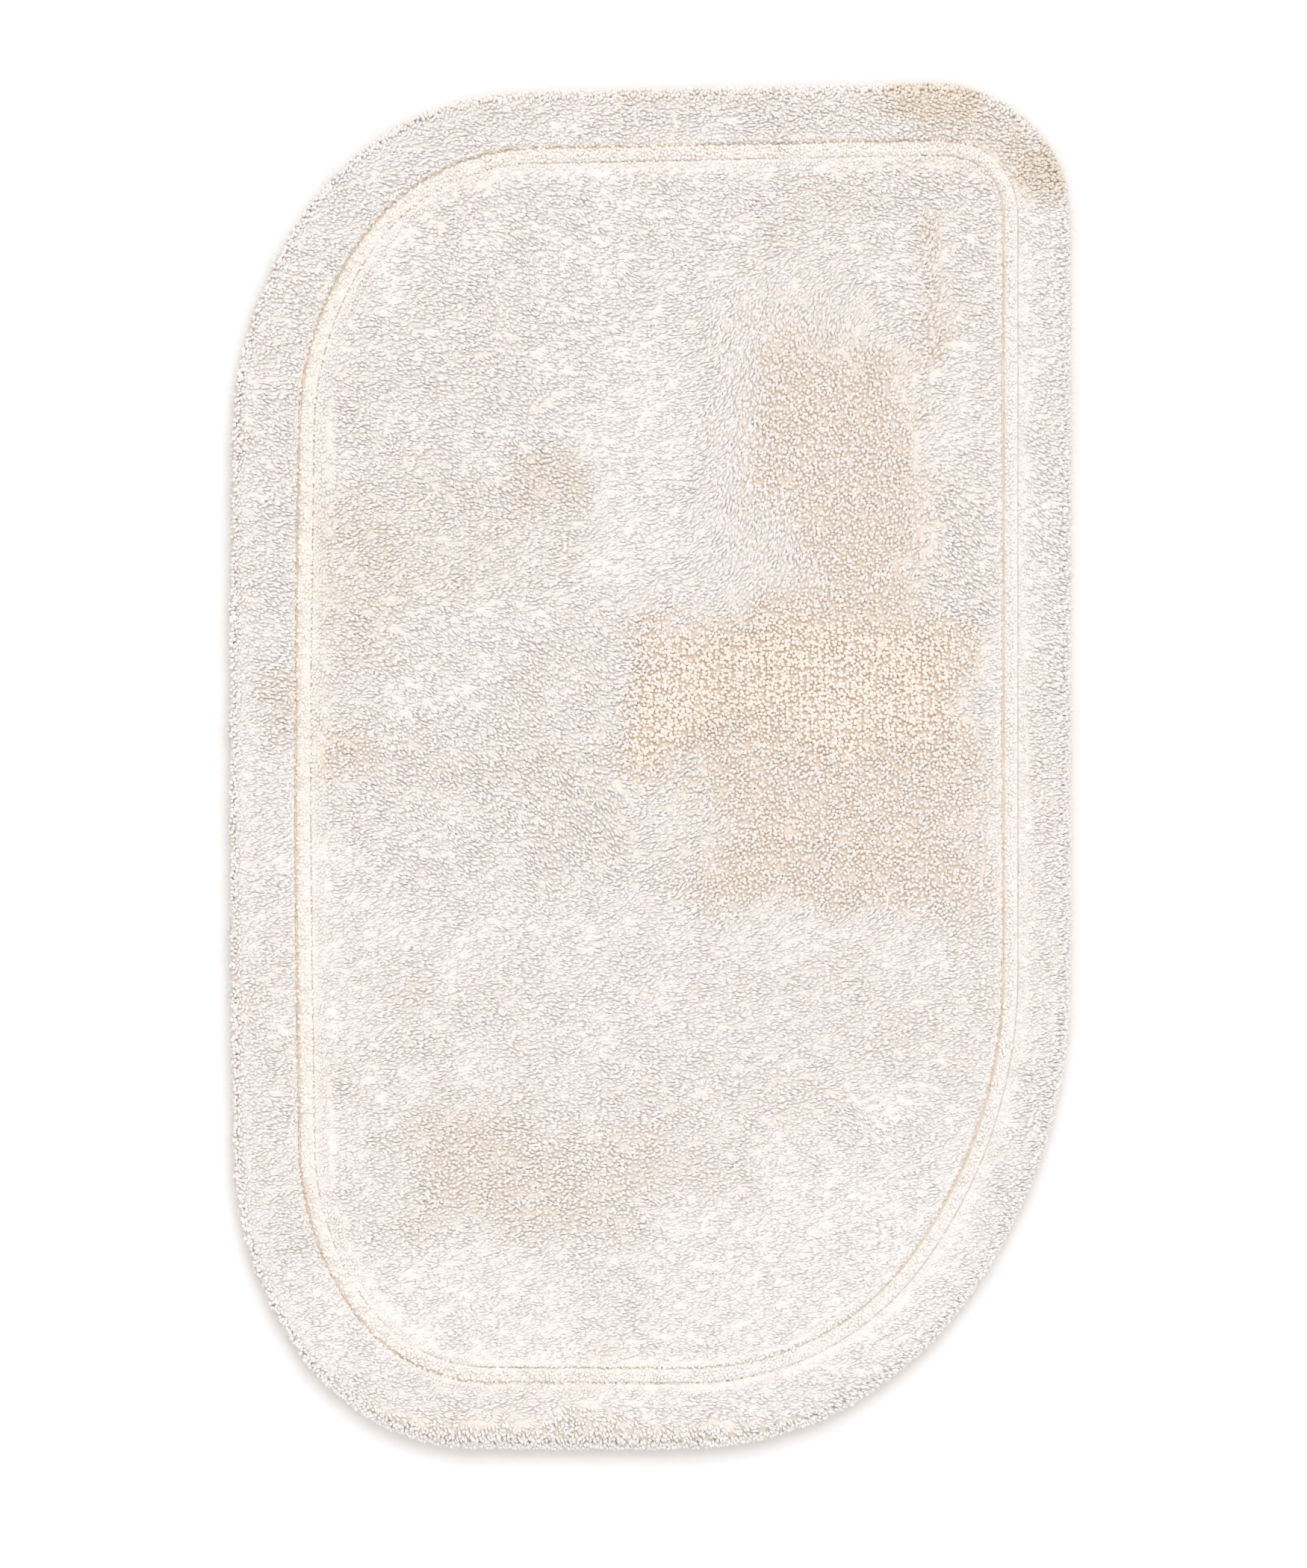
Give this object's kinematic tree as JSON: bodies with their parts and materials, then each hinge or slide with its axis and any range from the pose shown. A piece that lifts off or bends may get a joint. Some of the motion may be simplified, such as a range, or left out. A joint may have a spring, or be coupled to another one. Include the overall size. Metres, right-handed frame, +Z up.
{
  "type": "bath mat",
  "caption": "Oblong tufted cotton bath mat with uneven rounded corners, a channel inside its border, and a hemmed, rubber-coated back.",
  "frame": {"origin": "on the floor, under the middle of the mat's box", "axes": "+X across the mat, +Y along its length towards the edge with the squarest corner, +Z up out of the pile"},
  "size_m": [0.619, 0.9992, 0.024],
  "materials": {
    "pile": "cut cotton pile, matt",
    "channel_pile": "short sheared cotton pile, matt",
    "canvas": "plain woven cotton and polyester canvas",
    "yarn": "plied cotton yarn",
    "coat": "matt latex coat",
    "tape": "twill woven cotton tape",
    "thread": "spun polyester sewing thread",
    "label": "blank woven satin"
  },
  "bodies": {
    "root": {"panel_pile": "pile", "border_pile": "pile", "channel_pile": "channel_pile", "backing_canvas": "canvas", "back_stitch_rows": "yarn", "grip_coat": "coat", "hem_tape": "tape", "outer_hem_thread": "thread", "inner_hem_thread": "thread", "care_label": "label"}
  },
  "joints": []
}
